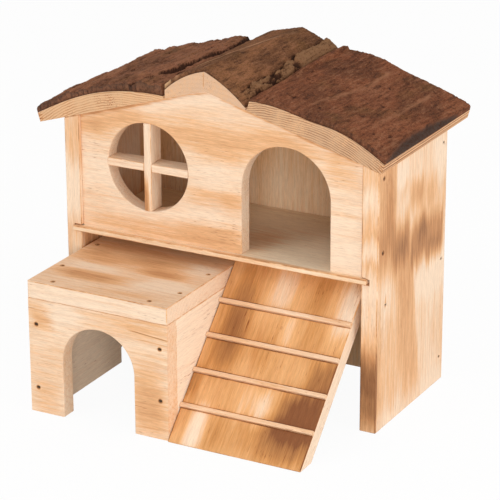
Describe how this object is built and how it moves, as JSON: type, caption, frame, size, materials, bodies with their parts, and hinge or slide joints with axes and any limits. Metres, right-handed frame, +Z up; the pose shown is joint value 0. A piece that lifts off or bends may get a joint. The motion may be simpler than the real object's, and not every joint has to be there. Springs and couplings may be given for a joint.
{
  "type": "wooden hamster house",
  "caption": "Nailed pine hamster house with a round window, an arched upper door, a rung ramp, a tunnel porch and a lift-off bark roof.",
  "frame": {"origin": "on the ground, under the middle of the whole object's box, which is also under the roof's ridge", "axes": "+X to the right along the front, +Y from the front to the rear, +Z up"},
  "size_m": [0.2138, 0.17, 0.1905],
  "materials": {
    "wall_wood": "sanded pine with soft scorched bands",
    "panel_wood": "sanded pine, lightly scorched",
    "porch_wood": "sanded pine, lightly scorched",
    "ramp_wood": "scorched pine",
    "floor_wood": "thin pale board",
    "window_bar_wood": "pale pine strips",
    "rung_wood": "pale pine strips",
    "slab_wood": "sawn live-edge softwood",
    "batten_wood": "sawn pine",
    "bark": "rough furrowed bark",
    "steel_brads": "dull steel"
  },
  "bodies": {
    "house": {"left_side_wall": "wall_wood", "right_side_wall": "wall_wood", "front_panel": "panel_wood", "back_panel": "panel_wood", "upper_floor": "floor_wood", "window_bar_vertical": "window_bar_wood", "window_bar_horizontal": "window_bar_wood", "porch_front_panel": "porch_wood", "porch_left_panel": "porch_wood", "porch_right_panel": "porch_wood", "porch_top": "porch_wood", "ramp_board": "ramp_wood", "ramp_rung_1": "rung_wood", "ramp_rung_2": "rung_wood", "ramp_rung_3": "rung_wood", "ramp_rung_4": "rung_wood", "front_panel_brads": "steel_brads", "back_panel_brads": "steel_brads", "porch_front_brads": "steel_brads", "porch_top_brads": "steel_brads", "porch_link_brad": "steel_brads", "ramp_brads": "steel_brads"},
    "roof": {"roof_slab_left": "slab_wood", "roof_slab_ridge": "slab_wood", "roof_slab_right": "slab_wood", "bark_left": "bark", "bark_ridge": "bark", "bark_right": "bark", "front_batten_left": "batten_wood", "front_batten_right": "batten_wood", "rear_batten_left": "batten_wood", "rear_batten_right": "batten_wood", "roof_brads": "steel_brads"}
  },
  "joints": [
    {"name": "roof_lift", "type": "slide", "parent": "house", "child": "roof", "axis": [0, 0, 1], "range_m": [0, 0.06]}
  ]
}
